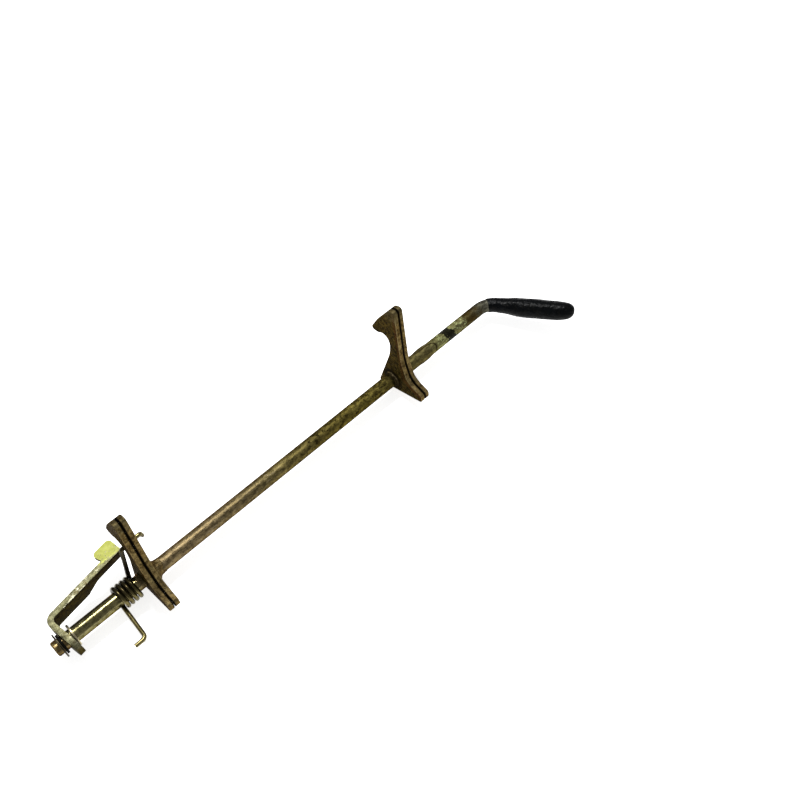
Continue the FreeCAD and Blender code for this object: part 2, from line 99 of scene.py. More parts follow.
class Finish:
    def __init__(self, name):
        self.material = bpy.data.materials.new(name)
        self.material.use_nodes = True
        self.tree = self.material.node_tree
        self.shader = self.tree.nodes["Principled BSDF"]
        coords = self.tree.nodes.new("ShaderNodeTexCoord")
        mapping = self.tree.nodes.new("ShaderNodeMapping")
        mapping.inputs["Location"].default_value = -AXIS / MM
        mapping.inputs["Scale"].default_value = (1 / MM,) * 3
        self.tree.links.new(coords.outputs["Object"], mapping.inputs["Vector"])
        self.place = mapping.outputs["Vector"]
        self.x, self.y, self.z = self.parts(self.place)
        self.normal_x, self.normal_y, self.normal_z = self.parts(coords.outputs["Normal"])

    def step(self, kind, inputs, **settings):
        """One node: its settings, then its inputs by name or number."""
        node = self.tree.nodes.new(kind)
        for key, value in settings.items():
            setattr(node, key, value)
        for key, value in inputs.items():
            if isinstance(value, bpy.types.NodeSocket):
                self.tree.links.new(value, node.inputs[key])
            else:
                node.inputs[key].default_value = value
        return node.outputs[0]

    def parts(self, vector):
        node = self.tree.nodes.new("ShaderNodeSeparateXYZ")
        self.tree.links.new(vector, node.inputs[0])
        return node.outputs[0], node.outputs[1], node.outputs[2]

    def math(self, operation, first, second=0.0):
        return self.step("ShaderNodeMath", {0: first, 1: second}, operation=operation)

    def stretched(self, scale, shift=(0, 0, 0)):
        return self.step("ShaderNodeMapping", {"Vector": self.place, "Scale": scale, "Location": shift})

    def noise(self, scale, detail=4.0, stretch=(1, 1, 1), shift=(0, 0, 0), roughness=0.6):
        """Noise with `scale` features per millimetre."""
        inputs = {"Vector": self.stretched(stretch, shift), "Scale": scale}
        inputs.update({"Detail": detail, "Roughness": roughness})
        return self.step("ShaderNodeTexNoise", inputs)

    def above(self, value, level, soft):
        """0 below the level and 1 above it, with a soft edge."""
        inputs = {0: value, 1: level - soft, 2: level + soft, 3: 0.0, 4: 1.0}
        return self.step("ShaderNodeMapRange", inputs, interpolation_type="SMOOTHSTEP")

    def below(self, value, level, soft):
        return self.math("SUBTRACT", 1.0, self.above(value, level, soft))

    def band(self, value, low, high, soft):
        return self.math("MULTIPLY", self.above(value, low, soft), self.below(value, high, soft))

    def both(self, first, second):
        return self.math("MULTIPLY", first, second)

    def either(self, first, second):
        return self.math("MAXIMUM", first, second)

    def ramp(self, value, stops, low=0.0, high=1.0):
        """A colour for each (value, colour) stop between low and high."""
        scaled = self.step("ShaderNodeMapRange", {0: value, 1: low, 2: high, 3: 0.0, 4: 1.0})
        node = self.tree.nodes.new("ShaderNodeValToRGB")
        self.tree.links.new(scaled, node.inputs[0])
        elements = node.color_ramp.elements
        while len(elements) < len(stops):
            elements.new(1.0)
        for element, (stop, colour) in zip(elements, stops):
            element.position = (stop - low) / (high - low)
            element.color = (*linear(colour), 1.0)
        return node.outputs[0]

    def mix(self, amount, first, second, blend="MIX"):
        node = self.tree.nodes.new("ShaderNodeMix")
        node.data_type = "RGBA"
        node.blend_type = blend
        for socket, value in ((node.inputs[0], amount), (node.inputs[6], first), (node.inputs[7], second)):
            if isinstance(value, bpy.types.NodeSocket):
                self.tree.links.new(value, socket)
            elif isinstance(value, tuple):
                socket.default_value = (*linear(value), 1.0)
            else:
                socket.default_value = value
        return node.outputs[2]

    def shade(self, colour, value, dark, light):
        """The colour made darker or lighter where value runs from 0 to 1."""
        amount = self.step("ShaderNodeMapRange", {0: value, 1: 0.41, 2: 0.59, 3: dark, 4: light})
        grey = self.step("ShaderNodeCombineColor", {0: amount, 1: amount, 2: amount})
        return self.mix(1.0, colour, grey, "MULTIPLY")

    def spread(self, value, low, high):
        return self.step("ShaderNodeMapRange", {0: value, 1: 0.25, 2: 0.75, 3: low, 4: high})

    def from_rod(self):
        """Distance from the rod's axis, in millimetres."""
        squares = self.math("ADD", self.math("POWER", self.y, 2.0), self.math("POWER", self.z, 2.0))
        return self.math("SQRT", squares)

    def bump(self, height, depth_mm, strength=1.0, under=None):
        inputs = {"Height": height, "Distance": depth_mm * MM, "Strength": strength}
        if under is not None:
            inputs["Normal"] = under
        return self.step("ShaderNodeBump", inputs)

    def done(self, colour, roughness, metallic, normal, tone=1.0, sheen=0.5, rim=(255, 255, 255)):
        """The finished material; tone darkens its colour, sheen is its bare reflection,
        and rim tints what it reflects at a glancing angle."""
        if tone != 1.0:
            grey = self.step("ShaderNodeCombineColor", {0: tone, 1: tone, 2: tone})
            colour = self.mix(1.0, colour, grey, "MULTIPLY")
        self.shader.inputs["Specular IOR Level"].default_value = sheen
        pairs = {"Base Color": colour, "Roughness": roughness, "Metallic": metallic, "Normal": normal}
        for key, value in pairs.items():
            if isinstance(value, bpy.types.NodeSocket):
                self.tree.links.new(value, self.shader.inputs[key])
            else:
                self.shader.inputs[key].default_value = value
        self.shader.inputs["Specular Tint"].default_value = (*linear(rim), 1.0)
        print("finish", self.material.name, "with", len(self.tree.nodes), "nodes")
        return self.material


# %% [markdown]
# ### The rod's plating
# The rod was zinc plated and passivated yellow, and time has treated its length
# unevenly: bright brass on the sheltered journal by the spring, pinkish brown
# with a clean shine after the left hook, olive with dark pits towards the right
# hook, then pale grey on the swelling, a smear of black paint between flakes of
# yellow-green, a brown stain and a silvery bend. One ramp along x gives the
# ground tone, and masks lay the marks over it.

# %% Rod plating
DULL_BRASS = (140, 120, 76)   # what old passivation reflects at a glancing angle


def rod_plating():
    f = Finish("rod_plating")
    x = f.x
    wander = f.noise(0.35, 3)
    x_wandering = f.math("ADD", x, f.math("MULTIPLY", f.math("SUBTRACT", wander, 0.5), 5.0))
    ground = f.ramp(x_wandering, [
        (-50, (112, 96, 64)), (-43.5, (108, 92, 60)), (-42.5, (128, 122, 84)), (-5, (124, 116, 78)),
        (-2, (112, 98, 68)), (12, (126, 110, 79)), (40, (120, 105, 75)), (72, (106, 94, 63)),
        (92, (112, 101, 60)), (122, (94, 84, 42)), (150, (96, 86, 40)), (168, (92, 82, 42)),
        (182, (98, 90, 52)), (200, (106, 98, 62)), (212, (128, 126, 82)), (228, (128, 122, 82)),
        (235, (100, 92, 58)), (246, (90, 88, 74)), (252, (92, 91, 80)), (260, (92, 91, 80)),
    ], -50, 260)
    grain = f.noise(0.75, 7, (0.5, 1, 1), (0, 0, 0), 0.75)
    colour = f.shade(ground, grain, 0.5, 1.5)
    blotch = f.noise(0.22, 4, (0.5, 1, 1), (40, 0, 0))
    colour = f.shade(colour, blotch, 0.85, 1.12)
    worn = f.band(x, 9.0, 250.0, 3.0)
    bleached = f.above(f.noise(0.8, 6, (0.35, 1, 1), (9, 4, 0)), 0.60, 0.06)
    bleached = f.both(bleached, f.band(x, 12.0, 90.0, 6.0))
    colour = f.mix(f.math("MULTIPLY", bleached, 0.5), colour, (172, 156, 124))
    speckled = f.band(x, 96.0, 172.0, 12.0)
    pale = f.both(f.above(f.noise(0.55, 6, (0.6, 1, 1), (3, 7, 1)), 0.55, 0.05), f.band(x, 128.0, 174.0, 8.0))
    colour = f.mix(f.math("MULTIPLY", pale, 0.7), colour, (138, 126, 64))
    pits = f.above(f.noise(0.45, 7, (0.7, 1, 1), (0, 20, 0), 0.75), 0.56, 0.03)
    pits = f.both(pits, speckled)
    colour = f.mix(f.math("MULTIPLY", pits, 0.85), colour, (36, 30, 12))
    few = f.both(f.above(f.noise(0.9, 5, (1, 1, 1), (5, 5, 5), 0.7), 0.66, 0.02), worn)
    colour = f.mix(f.math("MULTIPLY", few, 0.8), colour, (48, 38, 22))
    # yellow-green flakes on both sides of the black paint
    flakes = f.above(f.noise(0.8, 5, (0.6, 1, 1), (1, 2, 3), 0.7), 0.56, 0.03)
    flakes = f.both(flakes, f.band(x_wandering, 208.5, 232.5, 1.6))
    colour = f.mix(f.math("MULTIPLY", flakes, 0.8), colour, (188, 198, 138))
    paint_edge = f.math("ADD", x, f.math("MULTIPLY", f.math("SUBTRACT", f.noise(0.5, 4), 0.5), 9.0))
    paint = f.band(f.math("ADD", paint_edge, f.math("MULTIPLY", f.y, 0.35)), 214.4, 221.3, 0.35)
    colour = f.mix(f.math("MULTIPLY", paint, 0.97), colour, (10, 11, 9))
    # the brown stain before the bend
    stain = f.above(f.noise(0.30, 5, (0.6, 1, 1), (0, 0, 9)), 0.47, 0.08)
    stain = f.both(stain, f.band(x, 232.5, 245.0, 1.5))
    colour = f.mix(f.math("MULTIPLY", stain, 0.75), colour, (72, 56, 24))
    # a thin brown outline of a rounded tongue on the swelling
    across = f.math("DIVIDE", f.math("SUBTRACT", f.y, -2.2), 3.1)
    along = f.math("DIVIDE", f.math("SUBTRACT", x, 198.5), 8.2)
    across = f.math("POWER", f.math("ABSOLUTE", across), 2.0)
    along = f.math("POWER", f.math("ABSOLUTE", along), 4.0)
    oval = f.math("ADD", across, along)
    outline = f.both(f.band(oval, 0.80, 1.12, 0.08), f.above(f.z, 0.0, 0.5))
    outline = f.both(outline, f.above(x, 194.0, 2.0))
    colour = f.mix(f.math("MULTIPLY", outline, 0.95), colour, (36, 23, 8))
    # painted shade where the rod meets the right hook's left face, and the smoother, sheltered journal
    ragged = f.math("ADD", x, f.math("MULTIPLY", wander, 3.0))
    painted_corner_shade = f.band(ragged, HOOK_SPACING - 1.6, HOOK_SPACING + 2.0, 0.8)
    colour = f.mix(f.math("MULTIPLY", painted_corner_shade, 0.8), colour, (22, 19, 10))
    sheltered = f.band(x, -48.5, -2.0, 1.0)
    rough = f.step("ShaderNodeMapRange", {0: x, 1: 60.0, 2: 130.0, 3: 0.42, 4: 0.54})
    rough = f.math("ADD", rough, f.spread(grain, -0.06, 0.12))
    rough = f.math("SUBTRACT", rough, f.math("MULTIPLY", sheltered, 0.26))
    rough = f.either(rough, f.math("MULTIPLY", paint, 0.6))
    metal = f.math("SUBTRACT", 0.92, f.math("MULTIPLY", f.either(paint, flakes), 0.85))
    depth = f.math("SUBTRACT", 1.0, f.math("MULTIPLY", sheltered, 0.9))
    height = f.both(f.math("ADD", grain, f.math("MULTIPLY", pits, -0.5)), depth)
    return f.done(colour, rough, metal, f.bump(height, 0.24, 0.8), tone=0.64, sheen=0.12, rim=DULL_BRASS)


ROD_PLATING = rod_plating()

# %% [markdown]
# ### The hook plates
# Stamped sheet, plated with the rod but dulled to olive brown. The flat faces
# are dark and grainy, a rusty line follows the back edge, and the rounded rims
# are rubbed pale. A plate's face points along x and its rim does not, so the
# normal's x tells face, rounded edge and rim apart.

# %% Hook plating
SEAM_HALF_WIDTH = 0.75


def hook_plating():
    f = Finish("hook_plating")
    turned = f.math("ABSOLUTE", f.normal_x)
    grain = f.noise(0.45, 8, (1, 1, 1), (0, 0, 0), 0.78)
    blotch = f.noise(0.12, 4, (1, 1, 1), (30, 0, 4))
    face = f.ramp(blotch, [(0.3, (50, 43, 19)), (0.5, (62, 53, 25)), (0.7, (74, 64, 33))], 0.3, 0.7)
    rim_tones = [(0.3, (84, 70, 42)), (0.5, (104, 89, 57)), (0.7, (120, 107, 72))]
    rim = f.ramp(f.noise(0.18, 5, (1, 1, 1), (7, 0, 0)), rim_tones, 0.3, 0.7)
    colour = f.mix(f.above(turned, 0.6, 0.25), rim, face)
    colour = f.shade(colour, grain, 0.35, 1.6)
    back = f.math("ADD", f.math("MULTIPLY", f.math("SUBTRACT", f.z, 10.5), 0.177), -9.1)
    inside = f.math("SUBTRACT", f.y, back)
    wander = f.math("MULTIPLY", f.math("SUBTRACT", f.noise(0.3, 4), 0.5), 2.4)
    crease = f.both(f.band(f.math("ADD", inside, wander), 0.1, 2.3, 0.7), f.above(f.z, 7.0, 2.0))
    tail = f.math("SUBTRACT", f.z, f.math("ADD", 7.4, f.math("MULTIPLY", f.math("ADD", f.y, 10.0), 0.33)))
    low_crease = f.both(f.band(f.math("ADD", tail, wander), -3.0, 0.4, 0.8), f.below(f.y, -7.5, 2.0))
    crease = f.both(f.either(crease, low_crease), f.above(turned, 0.35, 0.25))
    colour = f.mix(f.math("MULTIPLY", crease, 0.45), colour, (76, 46, 20))
    rubbed = f.band(turned, 0.25, 0.86, 0.12)
    rubbed = f.both(rubbed, f.above(f.noise(0.5, 5, (1, 1, 1), (3, 3, 3)), 0.44, 0.1))
    colour = f.mix(f.math("MULTIPLY", rubbed, 0.5), colour, (148, 134, 98))
    pits = f.above(f.noise(0.6, 6, (1, 1, 1), (11, 0, 0), 0.8), 0.60, 0.04)
    colour = f.mix(f.math("MULTIPLY", pits, 0.75), colour, (40, 31, 14))
    # pale patches painted at the tops of the hooks, a painted highlight
    painted_top_highlight = f.both(f.above(f.z, 50.0, 3.0), f.above(f.noise(0.45, 4, (1, 1, 1), (2, 8, 0)), 0.46, 0.06))
    colour = f.mix(f.math("MULTIPLY", painted_top_highlight, 0.3), colour, (140, 132, 104))
    tip = f.above(f.z, 51.0, 4.0)
    colour = f.mix(f.math("MULTIPLY", tip, 0.55), colour, (54, 48, 26))
    # painted shade in the gap between the two plates of each hook
    for left_face in (0.0, HOOK_SPACING):
        seam_x = left_face + HOOK_WIDTH / 2
        painted_seam_shade = f.band(f.x, seam_x - SEAM_HALF_WIDTH, seam_x + SEAM_HALF_WIDTH, 0.18)
        colour = f.mix(f.math("MULTIPLY", painted_seam_shade, 0.95), colour, (14, 11, 6))
    # painted shade round the rod on the right hook's left face, where the two meet
    reach = f.from_rod()
    reach = f.math("ADD", reach, f.math("MULTIPLY", wander, 0.8))
    by_hook = f.band(f.x, HOOK_SPACING - 1.0, HOOK_SPACING + 1.0, 0.3)
    painted_corner_shade = f.both(f.below(reach, 7.0, 1.6), by_hook)
    colour = f.mix(f.math("MULTIPLY", painted_corner_shade, 0.85), colour, (24, 21, 11))
    rough = f.spread(grain, 0.46, 0.66)
    relief = f.bump(f.math("SUBTRACT", grain, f.math("MULTIPLY", pits, 0.6)), 0.30, 0.8)
    return f.done(colour, rough, 0.85, relief, tone=0.9, sheen=0.05, rim=DULL_BRASS)


HOOK_PLATING = hook_plating()

# %% [markdown]
# ### Weld, spring, washers, clip and arm
# Weld, spring, thrust washer and arm share one plating but not one wear. The
# weld is lumpy and brown, the spring wire is drawn, so its marks run round the
# coil as fine lines, and the thrust washer is rubbed bright. The clip is dark
# phosphated steel and the washer beside it black nylon.

# %% Weld plating
def weld_plating():
    f = Finish("weld_plating")
    lumps = f.noise(0.55, 5, (1, 1, 1), (4, 0, 2))
    colour = f.ramp(lumps, [(0.3, (70, 54, 30)), (0.5, (102, 86, 54)), (0.7, (134, 118, 82))], 0.3, 0.7)
    colour = f.shade(colour, f.noise(1.8, 6), 0.75, 1.2)
    burnt = f.above(f.noise(0.7, 6, (1, 1, 1), (0, 9, 2), 0.7), 0.60, 0.03)
    colour = f.mix(f.math("MULTIPLY", burnt, 0.8), colour, (52, 32, 14))
    # the right bead sits in the corner at the right hook's left face: it is painted near black as shade
    # there, with a painted highlight, a pale crescent along its top
    near_right = f.above(f.x, 150.0, 1.0)
    reach = f.from_rod()
    painted_crescent_highlight = f.both(near_right, f.band(reach, 4.5, 4.9, 0.15))
    painted_crescent_highlight = f.both(painted_crescent_highlight, f.above(f.z, 3.0, 0.6))
    colour = f.mix(f.math("MULTIPLY", near_right, 0.88), colour, (24, 21, 11))
    colour = f.mix(f.math("MULTIPLY", painted_crescent_highlight, 0.4), colour, (150, 136, 104))
    rough = f.spread(lumps, 0.38, 0.55)
    relief = f.bump(f.noise(0.9, 6), 0.3, 0.8)
    return f.done(colour, rough, 0.85, relief, tone=0.75, sheen=0.1, rim=DULL_BRASS)


WELD_PLATING = weld_plating()


# %% Spring plating
def spring_plating():
    f = Finish("spring_plating")
    drawn = f.noise(1.6, 5, (2.2, 0.5, 0.5))
    colour = f.ramp(f.noise(0.14, 3), [(0.3, (108, 98, 58)), (0.7, (134, 124, 82))], 0.3, 0.7)
    colour = f.shade(colour, drawn, 0.8, 1.15)
    reach = f.from_rod()
    # painted shade on the inner side of the coil's wire, facing the rod
    inner = f.both(f.below(reach, 5.9, 0.5), f.band(f.x, -16.0, -2.0, 0.6))
    colour = f.mix(f.math("MULTIPLY", inner, 0.8), colour, (30, 26, 12))
    tarnish = f.both(f.above(f.noise(0.5, 5, (1, 1, 1), (8, 0, 0)), 0.56, 0.05), f.above(f.z, 5.0, 2.0))
    colour = f.mix(f.math("MULTIPLY", tarnish, 0.6), colour, (84, 66, 38))
    # the wire is darker where it is more than 5 mm above the axis and short of x = 2
    darker_high_wire = f.both(f.above(f.z, 5.0, 2.0), f.below(f.x, 2.0, 1.0))
    colour = f.mix(f.math("MULTIPLY", darker_high_wire, 0.8), colour, (34, 27, 16))
    cut_end = f.above(f.math("ABSOLUTE", f.normal_x), 0.9, 0.05)
    cut_end = f.both(cut_end, f.below(f.x, -20.5, 0.3))
    colour = f.mix(f.math("MULTIPLY", cut_end, 0.8), colour, (214, 202, 164))
    return f.done(colour, f.spread(drawn, 0.22, 0.36), 0.95, f.bump(drawn, 0.03, 0.5), tone=0.68)


SPRING_PLATING = spring_plating()


# %% Washer, nylon and clip
def washer_plating():
    f = Finish("washer_plating")
    rings = f.noise(1.3, 5, (3, 1, 1))
    colour = f.ramp(rings, [(0.3, (134, 124, 90)), (0.7, (188, 180, 150))], 0.3, 0.7)
    spots = f.above(f.noise(0.8, 5, (1, 1, 1), (2, 2, 2), 0.7), 0.60, 0.04)
    colour = f.mix(f.math("MULTIPLY", spots, 0.6), colour, (84, 68, 36))
    return f.done(colour, f.spread(rings, 0.22, 0.42), 0.95, f.bump(rings, 0.04, 0.5))


def black_nylon():
    f = Finish("black_nylon")
    grain = f.noise(1.1, 5)
    colour = f.ramp(grain, [(0.3, (9, 9, 8)), (0.7, (20, 19, 16))], 0.3, 0.7)
    dust = f.above(f.noise(2.5, 4, (1, 1, 1), (4, 4, 4)), 0.66, 0.03)
    colour = f.mix(f.math("MULTIPLY", dust, 0.4), colour, (96, 88, 66))
    return f.done(colour, f.spread(grain, 0.5, 0.7), 0.0, f.bump(grain, 0.05, 0.4), tone=0.5, sheen=0.04)


def phosphated_steel():
    f = Finish("phosphated_steel")
    grain = f.noise(1.4, 6)
    colour = f.ramp(grain, [(0.3, (36, 31, 21)), (0.7, (72, 63, 44))], 0.3, 0.7)
    edge = f.band(f.math("ABSOLUTE", f.normal_x), 0.2, 0.9, 0.1)
    colour = f.mix(f.math("MULTIPLY", edge, 0.6), colour, (178, 166, 130))
    return f.done(colour, f.spread(grain, 0.35, 0.55), 0.9, f.bump(grain, 0.05, 0.5), tone=0.5)


WASHER_PLATING = washer_plating()
BLACK_NYLON = black_nylon()
PHOSPHATED_STEEL = phosphated_steel()


# %% [markdown]
# The crank arm is silvery olive with bright pits along its upper edge, where
# fingers and parts rubbed it. Its tab was once dabbed with light yellow-green
# paint, which has chipped near the root. The arm is drawn at rest, so the tab's
# place along the rod and out from it marks the painted area.

# %% Arm plating
TAB_START, TAB_OUT = -11.5, 16.5
SILVERY_OLIVE = (168, 166, 146)   # what the arm reflects at a glancing angle


def arm_plating():
    f = Finish("arm_plating")
    grain = f.noise(0.5, 8, (0.7, 1, 1), (0, 0, 0), 0.75)
    blotch = f.noise(0.16, 4, (1, 1, 1), (0, 12, 0))
    side = f.ramp(blotch, [(0.3, (48, 41, 20)), (0.7, (74, 66, 38))], 0.3, 0.7)
    edge_tones = [(0.3, (84, 82, 56)), (0.7, (122, 120, 92))]
    edge = f.ramp(f.noise(0.3, 5, (1, 1, 1), (6, 6, 0)), edge_tones, 0.3, 0.7)
    up = f.above(f.normal_z, 0.55, 0.2)
    colour = f.mix(up, side, edge)
    colour = f.shade(colour, grain, 0.45, 1.45)
    bright = f.above(f.noise(0.4, 6, (0.5, 1, 1), (1, 0, 6), 0.65), 0.55, 0.03)
    bright = f.both(bright, f.both(up, f.band(f.x, -41.0, -12.5, 2.0)))
    colour = f.mix(f.math("MULTIPLY", bright, 0.75), colour, (190, 186, 156))
    rust = f.above(f.noise(0.55, 6, (1, 1, 1), (9, 1, 1), 0.7), 0.60, 0.03)
    colour = f.mix(f.math("MULTIPLY", rust, 0.6), colour, (74, 56, 24))
    chips = f.above(f.noise(0.9, 6, (1, 1, 1), (0, 4, 4), 0.75), 0.56, 0.02)
    on_tab = f.both(f.above(f.x, TAB_START, 0.4), f.above(f.y, TAB_OUT, 0.8))
    paint = f.both(on_tab, f.above(f.normal_z, 0.93, 0.03))
    paint = f.both(paint, f.math("SUBTRACT", 1.0, f.both(chips, f.below(f.y, 21.0, 1.0))))
    bare_rim = f.both(on_tab, f.below(f.normal_z, 0.9, 0.04))
    colour = f.mix(f.math("MULTIPLY", bare_rim, 0.85), colour, (38, 32, 16))
    yellow = f.ramp(f.noise(0.5, 4), [(0.3, (190, 194, 96)), (0.7, (214, 218, 120))], 0.3, 0.7)
    colour = f.mix(paint, colour, yellow)
    rough = f.math("MAXIMUM", f.spread(grain, 0.34, 0.56), f.math("MULTIPLY", paint, 0.5))
    metal = f.math("SUBTRACT", 0.88, f.math("MULTIPLY", paint, 0.86))
    relief = f.bump(f.math("ADD", grain, f.math("MULTIPLY", bright, 0.2)), 0.25, 0.8)
    return f.done(colour, rough, metal, relief, tone=0.7, sheen=0.1, rim=SILVERY_OLIVE)


ARM_PLATING = arm_plating()

# %% [markdown]
# ### The vinyl
# Dipped vinyl is smooth and near black with a hint of blue. Handling left dull
# brown scuffs and a few pale specks.

# %% Vinyl
def dipped_vinyl():
    f = Finish("dipped_vinyl")
    skin = f.noise(0.25, 5)
    colour = f.ramp(skin, [(0.3, (6, 8, 10)), (0.7, (15, 18, 22))], 0.3, 0.7)
    scuff = f.above(f.noise(0.35, 6, (1, 1, 1), (0, 3, 8), 0.7), 0.58, 0.06)
    colour = f.mix(f.math("MULTIPLY", scuff, 0.4), colour, (36, 33, 27))
    specks = f.above(f.noise(2.2, 4, (1, 1, 1), (5, 1, 0)), 0.70, 0.02)
    colour = f.mix(f.math("MULTIPLY", specks, 0.6), colour, (112, 112, 104))
    rough = f.spread(f.noise(0.6, 5), 0.26, 0.42)
    soft = f.bump(f.noise(0.22, 3), 1.0, 0.9)
    fine = f.bump(f.noise(1.6, 5), 0.05, 0.5, soft)
    return f.done(colour, rough, 0.0, fine, tone=0.35, sheen=0.05)


DIPPED_VINYL = dipped_vinyl()

# %% [markdown]
# ## Pieces that keep the frame's shape
# The rod and the hook plates already have their true shape, with rounded rims,
# so they only take a finish. Assigning to each material slot is enough.

# %% Dress the rod and the plates
def dress(piece, material):
    if not piece.material_slots:
        piece.data.materials.append(material)
    for material_slot in piece.material_slots:
        material_slot.link = "OBJECT"
        material_slot.material = material


dress(nodes["main_shaft"], ROD_PLATING)
for side in ("left", "right"):
    for layer in ("first", "second"):
        dress(nodes[f"{side}_hook_{layer}_plate"], HOOK_PLATING)
print("dressed the rod and four plates")

# %% [markdown]
# ## Small stamped pieces with broken edges
# A stamped part never has a knife edge. A copy of each small piece is merged
# into one skin, its flat areas are cleaned, and the Bevel modifier rounds every
# edge sharper than 35 degrees. The copy then stands for the plain piece.

# %% Round the edges of a copy
def deselect():
    bpy.ops.object.select_all(action="DESELECT")


def activate(piece):
    deselect()
    piece.select_set(True)
    bpy.context.view_layer.objects.active = piece


def whole_skin_select(piece):
    activate(piece)
    bpy.ops.object.mode_set(mode="EDIT")
    bpy.ops.mesh.select_all(action="SELECT")


def worn_copy(node, name, width_mm, material, body, segments=2):
    piece = nodes[node].copy()
    piece.data = nodes[node].data.copy()
    piece.name = piece.data.name = name
    piece.parent = None
    piece.matrix_world = Matrix.Identity(4)
    bpy.context.collection.objects.link(piece)
    whole_skin_select(piece)
    bpy.ops.mesh.remove_doubles(threshold=1e-6)
    bpy.ops.mesh.dissolve_limited(angle_limit=math.radians(0.4))
    bpy.ops.object.mode_set(mode="OBJECT")
    bevel = piece.modifiers.new("broken_edges", "BEVEL")
    bevel.width = width_mm * MM
    bevel.segments = segments
    bevel.limit_method = "ANGLE"
    bevel.angle_limit = math.radians(35)
    bevel.use_clamp_overlap = True
    bpy.ops.object.modifier_apply(modifier=bevel.name)
    bpy.ops.object.shade_smooth_by_angle(angle=math.radians(40))
    piece.data.materials.clear()
    piece.data.materials.append(material)
    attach(piece, body)
    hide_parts(node)
    print(name, len(piece.data.polygons), "faces")


worn_copy("crank_arm", "crank_arm_worn", 0.45, ARM_PLATING, "arm", 3)
worn_copy("thrust_washer", "thrust_washer_worn", 0.15, WASHER_PLATING, "washers")
worn_copy("nylon_washer", "nylon_washer_worn", 0.2, BLACK_NYLON, "washers")
worn_copy("retaining_clip", "retaining_clip_worn", 0.12, PHOSPHATED_STEEL, "shaft")

# %% [markdown]
# ## The torsion spring
# Real spring wire is one length: a coil, a leg that climbs behind the hook and
# bars its throat, and a free leg under the rod. The frame cuts the free leg off
# so that it can swing. Here the wire is one curve again, drawn through the same
# points with a round section.

# %% The wire's path
WIRE_RADIUS = 1.15
COIL_RADIUS = 5.6
COIL_PITCH = 2.45
COIL_START = -14.1
FIRST_ANGLE, LAST_ANGLE, FULL_TURNS = -94.0, 0.0, 4
LEG_BEND = 2.6
COIL_STEPS = 150
ANCHOR_REACH, ANCHOR_TIP = 23.05, 6.2   # out from the coil, then back along the rod
LATCH_CLIMB = 26.0
LATCH_BEYOND_HOOK = 4.3


def around(radius, degrees, x):
    turn = math.radians(degrees)
    return Vector((x, radius * math.cos(turn), radius * math.sin(turn)))


def coil_heading(degrees):
    turn = math.radians(degrees)
    climb = COIL_PITCH / (2 * math.pi)
    return Vector((climb, -COIL_RADIUS * math.sin(turn), COIL_RADIUS * math.cos(turn))).normalized()


def rounded(points, radius, steps=8):
    """The points with each inner corner turned into a smooth bend."""
    path = [points[0]]
    for before, corner, after in zip(points, points[1:], points[2:]):
        back, ahead = (before - corner).normalized(), (after - corner).normalized()
        half = back.angle(ahead) / 2
        reach = min(radius / math.tan(half), (before - corner).length * 0.48, (after - corner).length * 0.48)
        start, end = corner + back * reach, corner + ahead * reach
        for step in range(steps + 1):
            share = step / steps
            path.append(start * (1 - share) ** 2 + corner * 2 * share * (1 - share) + end * share ** 2)
    path.append(points[-1])
    return path


sweep = FULL_TURNS * 360 + LAST_ANGLE - FIRST_ANGLE
coil = []
for step in range(COIL_STEPS + 1):
    degrees = FIRST_ANGLE + sweep * step / COIL_STEPS
    coil.append(around(COIL_RADIUS, degrees, COIL_START + COIL_PITCH * sweep * step / COIL_STEPS / 360))
coil_end = coil[-1]
away = -coil_heading(FIRST_ANGLE)
corner = coil[0] + away * ANCHOR_REACH
anchor_leg = rounded([coil[0], corner, corner + Vector((-ANCHOR_TIP, 0, 0))], LEG_BEND)
climb = coil_heading(LAST_ANGLE)
knee = coil_end + climb * LATCH_CLIMB + Vector((1.2, 0, 0))
bar_end = Vector((HOOK_WIDTH + LATCH_BEYOND_HOOK, knee.y + 0.6, knee.z + 0.4))
bar_tip = bar_end + Vector((0.8, 0.6, -3.6))
latch_leg = rounded([coil_end, coil_end + climb * 3.0, knee, bar_end, bar_tip], LEG_BEND / 2)
wire_path = list(reversed(anchor_leg)) + coil[1:-1] + latch_leg
print("wire path", len(wire_path), "points, coil ends at x", round(coil_end.x, 2))

# %% The wire
def wire_from(path, radius_mm, name):
    deselect()
    bpy.ops.curve.primitive_nurbs_path_add(location=(0, 0, 0))
    wire = bpy.context.object
    wire.name = name
    line = wire.data
    line.splines.clear()
    spline = line.splines.new("POLY")
    spline.points.add(len(path) - 1)
    for point, place in zip(spline.points, path):
        point.co = (*at(*place), 1.0)
    line.dimensions = "3D"
    line.twist_mode = "MINIMUM"
    line.bevel_depth = radius_mm * MM
    line.bevel_resolution = 5
    line.use_fill_caps = True
    activate(wire)
    bpy.ops.object.convert(target="MESH")
    wire = bpy.context.object
    whole_skin_select(wire)
    bpy.ops.mesh.remove_doubles(threshold=1e-6)
    bpy.ops.mesh.normals_make_consistent(inside=False)
    bpy.ops.object.mode_set(mode="OBJECT")
    bpy.ops.object.shade_smooth_by_angle(angle=math.radians(50))
    return wire


spring = wire_from(wire_path, WIRE_RADIUS, "spring_wire")
spring.data.materials.clear()
spring.data.materials.append(SPRING_PLATING)
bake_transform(spring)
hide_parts("torsion_spring", "spring_anchor_leg")
print("spring wire", len(spring.data.polygons), "faces")

# %% [markdown]
# ## Weld beads
# A weld is a row of overlapping puddles. A circle is extruded ring by ring, and
# steps down from the plate to the rod. It is then subdivided, and Displace with
# fixed clouds pushes it into lumps. The low places stay buried in the rod.

# %% A lumpy bead
ROD_RADIUS = 4.0


